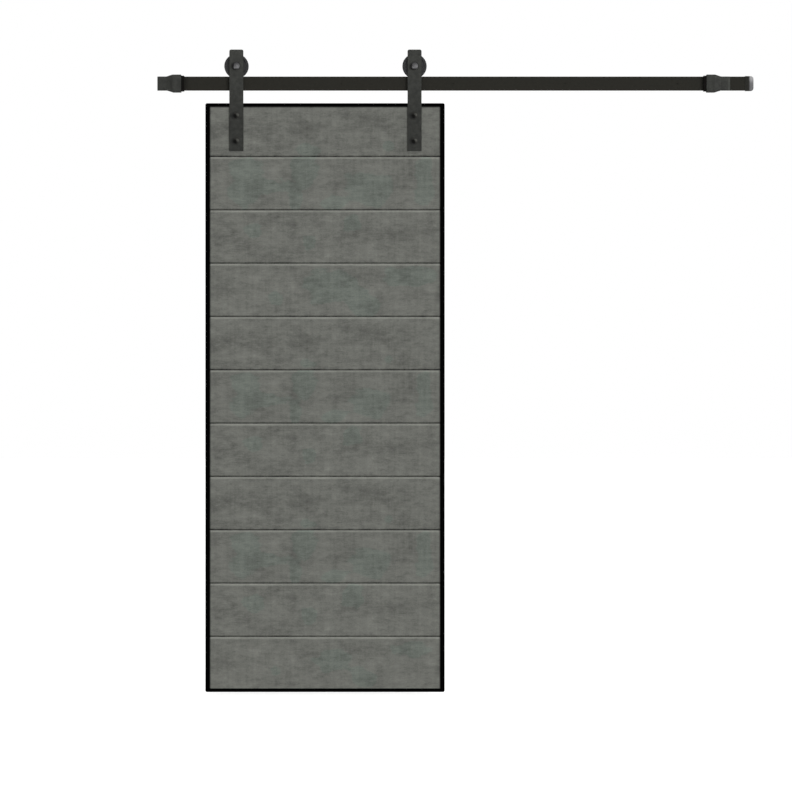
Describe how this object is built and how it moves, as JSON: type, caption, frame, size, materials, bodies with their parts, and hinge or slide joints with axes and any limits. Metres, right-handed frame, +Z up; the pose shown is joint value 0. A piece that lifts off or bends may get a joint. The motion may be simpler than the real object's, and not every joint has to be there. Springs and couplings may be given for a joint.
{
  "type": "sliding barn door",
  "caption": "Sliding barn door of level tongue-and-groove boards in a slim black frame, hung by strap hangers and grooved wheels from a flat wall track with end stops.",
  "frame": {"origin": "centre of the middle wall fixing, on the wall plane behind the track", "axes": "+X to the right along the track as seen from the room, +Y into the wall, +Z up"},
  "size_m": [2.1616, 0.1197, 2.3278],
  "materials": {
    "cement_grey_board": "matt cement-grey laminate with a fine level grain and cloudy patches",
    "black_frame": "satin black coating",
    "zinc_steel": "zinc plated",
    "black_screw": "black oxide, finished to match the track",
    "black_track": "satin warm black powder coat",
    "black_hardware": "satin charcoal powder coat",
    "bumper_rubber": "matt black rubber",
    "grey_cap": "satin grey moulding, lighter on its nose",
    "black_wheel": "satin charcoal",
    "black_bolt": "black oxide",
    "bolt_steel": "dull grey steel head",
    "bearing_steel": "ground steel"
  },
  "bodies": {
    "track": {"stop_body_left": "black_hardware", "stop_body_right": "black_hardware", "stop_bumper_left": "bumper_rubber", "stop_bumper_right": "bumper_rubber", "stop_set_screws": "black_screw", "track_end_cap": "grey_cap", "track_rail": "black_track", "track_spacers": "black_track", "wall_screws": "black_screw"},
    "door": {"axle_back_washers": "bearing_steel", "axle_bolt_left": "bolt_steel", "axle_bolt_right": "bolt_steel", "axle_collars": "bearing_steel", "axle_nuts": "black_bolt", "axle_washers": "black_bolt", "bearing_inner_rings": "bearing_steel", "corner_key_bottom_left": "zinc_steel", "corner_key_bottom_right": "zinc_steel", "corner_key_top_left": "zinc_steel", "corner_key_top_right": "zinc_steel", "door_bolt_nuts": "black_bolt", "door_bolt_washers": "black_bolt", "door_bolts": "black_bolt", "door_rail_bottom": "black_frame", "door_rail_top": "black_frame", "door_stile_left": "black_frame", "door_stile_right": "black_frame", "frame_screws": "black_screw", "hanger_strap_left": "black_hardware", "hanger_strap_right": "black_hardware", "plank_01": "cement_grey_board", "plank_02": "cement_grey_board", "plank_03": "cement_grey_board", "plank_04": "cement_grey_board", "plank_05": "cement_grey_board", "plank_06": "cement_grey_board", "plank_07": "cement_grey_board", "plank_08": "cement_grey_board", "plank_09": "cement_grey_board", "plank_10": "cement_grey_board", "plank_11": "cement_grey_board"},
    "wheel_left": {"wheel_left": "black_wheel", "bearing_outer_ring_left": "bearing_steel", "bearing_balls_left": "bearing_steel", "bearing_retainer_left": "bearing_steel"},
    "wheel_right": {"wheel_right": "black_wheel", "bearing_outer_ring_right": "bearing_steel", "bearing_balls_right": "bearing_steel", "bearing_retainer_right": "bearing_steel"}
  },
  "joints": [
    {"name": "door_slide", "type": "slide", "parent": "track", "child": "door", "axis": [1, 0, 0], "range_m": [-0.163, 1.02]},
    {"name": "wheel_left_turn", "type": "hinge", "parent": "door", "child": "wheel_left", "pos_m": [-0.7862, -0.03118, 0.063], "axis": [0, 1, 0], "continuous": true},
    {"name": "wheel_right_turn", "type": "hinge", "parent": "door", "child": "wheel_right", "pos_m": [-0.1406, -0.03118, 0.063], "axis": [0, 1, 0], "continuous": true}
  ],
  "couplings": [
    {"joint": "wheel_left_turn", "follows": "door_slide", "rad_per_m": 26.81},
    {"joint": "wheel_right_turn", "follows": "door_slide", "rad_per_m": 26.81}
  ]
}
